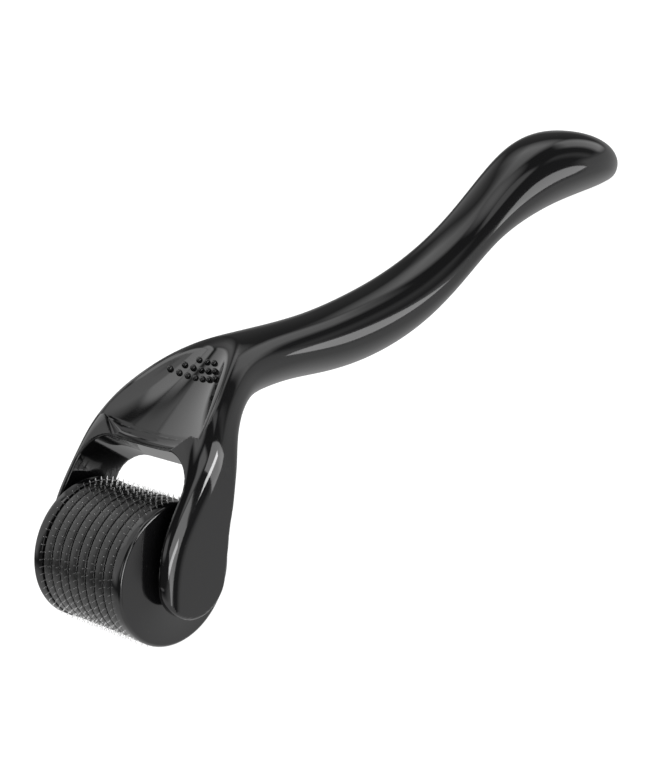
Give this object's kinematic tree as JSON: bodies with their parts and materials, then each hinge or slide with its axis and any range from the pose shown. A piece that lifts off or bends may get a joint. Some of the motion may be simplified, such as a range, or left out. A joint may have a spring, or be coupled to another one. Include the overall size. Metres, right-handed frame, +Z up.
{
  "type": "derma roller",
  "caption": "Hand roller with a curved glossy handle, a dished thumb rest and a fork that holds a freely turning drum of fine needle discs.",
  "frame": {"origin": "Centre of the footprint, on the surface that the roller lies on, resting on its needle tips and its tail.", "axes": "+X along the drum's axle towards the right-hand fork arm, +Y from the drum to the tail of the handle, +Z up."},
  "size_m": [0.0268, 0.1414, 0.0296],
  "materials": {
    "handle_plastic": "high gloss black ABS, moulded in one piece",
    "drum_plastic": "gloss black, faint turning marks on the rings",
    "needle_steel": "bright etched stainless steel"
  },
  "bodies": {
    "grip": {"handle": "handle_plastic"},
    "drum": {"drum_core": "drum_plastic", "end_cap_left": "drum_plastic", "end_cap_right": "drum_plastic", "needle_disc_1": "needle_steel", "needle_disc_2": "needle_steel", "needle_disc_3": "needle_steel", "needle_disc_4": "needle_steel", "needle_disc_5": "needle_steel", "needle_disc_6": "needle_steel", "needle_disc_7": "needle_steel", "needle_disc_8": "needle_steel", "needle_disc_9": "needle_steel", "spacer_ring_1": "drum_plastic", "spacer_ring_2": "drum_plastic", "spacer_ring_3": "drum_plastic", "spacer_ring_4": "drum_plastic", "spacer_ring_5": "drum_plastic", "spacer_ring_6": "drum_plastic", "spacer_ring_7": "drum_plastic", "spacer_ring_8": "drum_plastic"}
  },
  "joints": [
    {"name": "drum_spin", "type": "hinge", "parent": "grip", "child": "drum", "pos_m": [0, -0.05991, 0.01075], "axis": [1, 0, 0], "continuous": true}
  ]
}
